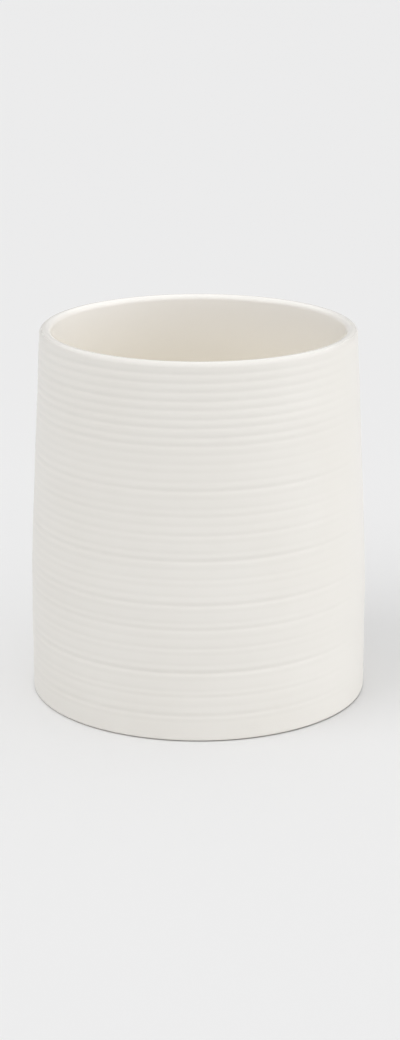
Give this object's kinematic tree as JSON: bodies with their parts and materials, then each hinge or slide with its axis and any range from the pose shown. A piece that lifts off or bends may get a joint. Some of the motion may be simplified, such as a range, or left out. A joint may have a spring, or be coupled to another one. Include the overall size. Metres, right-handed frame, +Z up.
{
  "type": "pen holder cup",
  "caption": "Round glazed stoneware cup with an open top, a wall that leans in slightly over fine throwing rings, and a thin desk pad under its floor, for standing pens and pencils in.",
  "frame": {"origin": "centre of the cup's base, on the plane of the desk that it stands on", "axes": "+Z up along the cup's axis, towards its open mouth; the cup is round, so +X and +Y are free"},
  "size_m": [0.0908, 0.0908, 0.1],
  "materials": {
    "stoneware_body": "bare fired stoneware, matt and slightly gritty, pale buff; seen only on the foot ring and in the pad recess",
    "glaze_coat": "glossy warm white glaze, soft highlights, pooled a little in the throwing rings",
    "desk_pad": "matt dark grey non-slip rubber sheet"
  },
  "bodies": {
    "root": {"stoneware_body": "stoneware_body", "glaze_coat": "glaze_coat", "desk_pad": "desk_pad"}
  },
  "joints": []
}
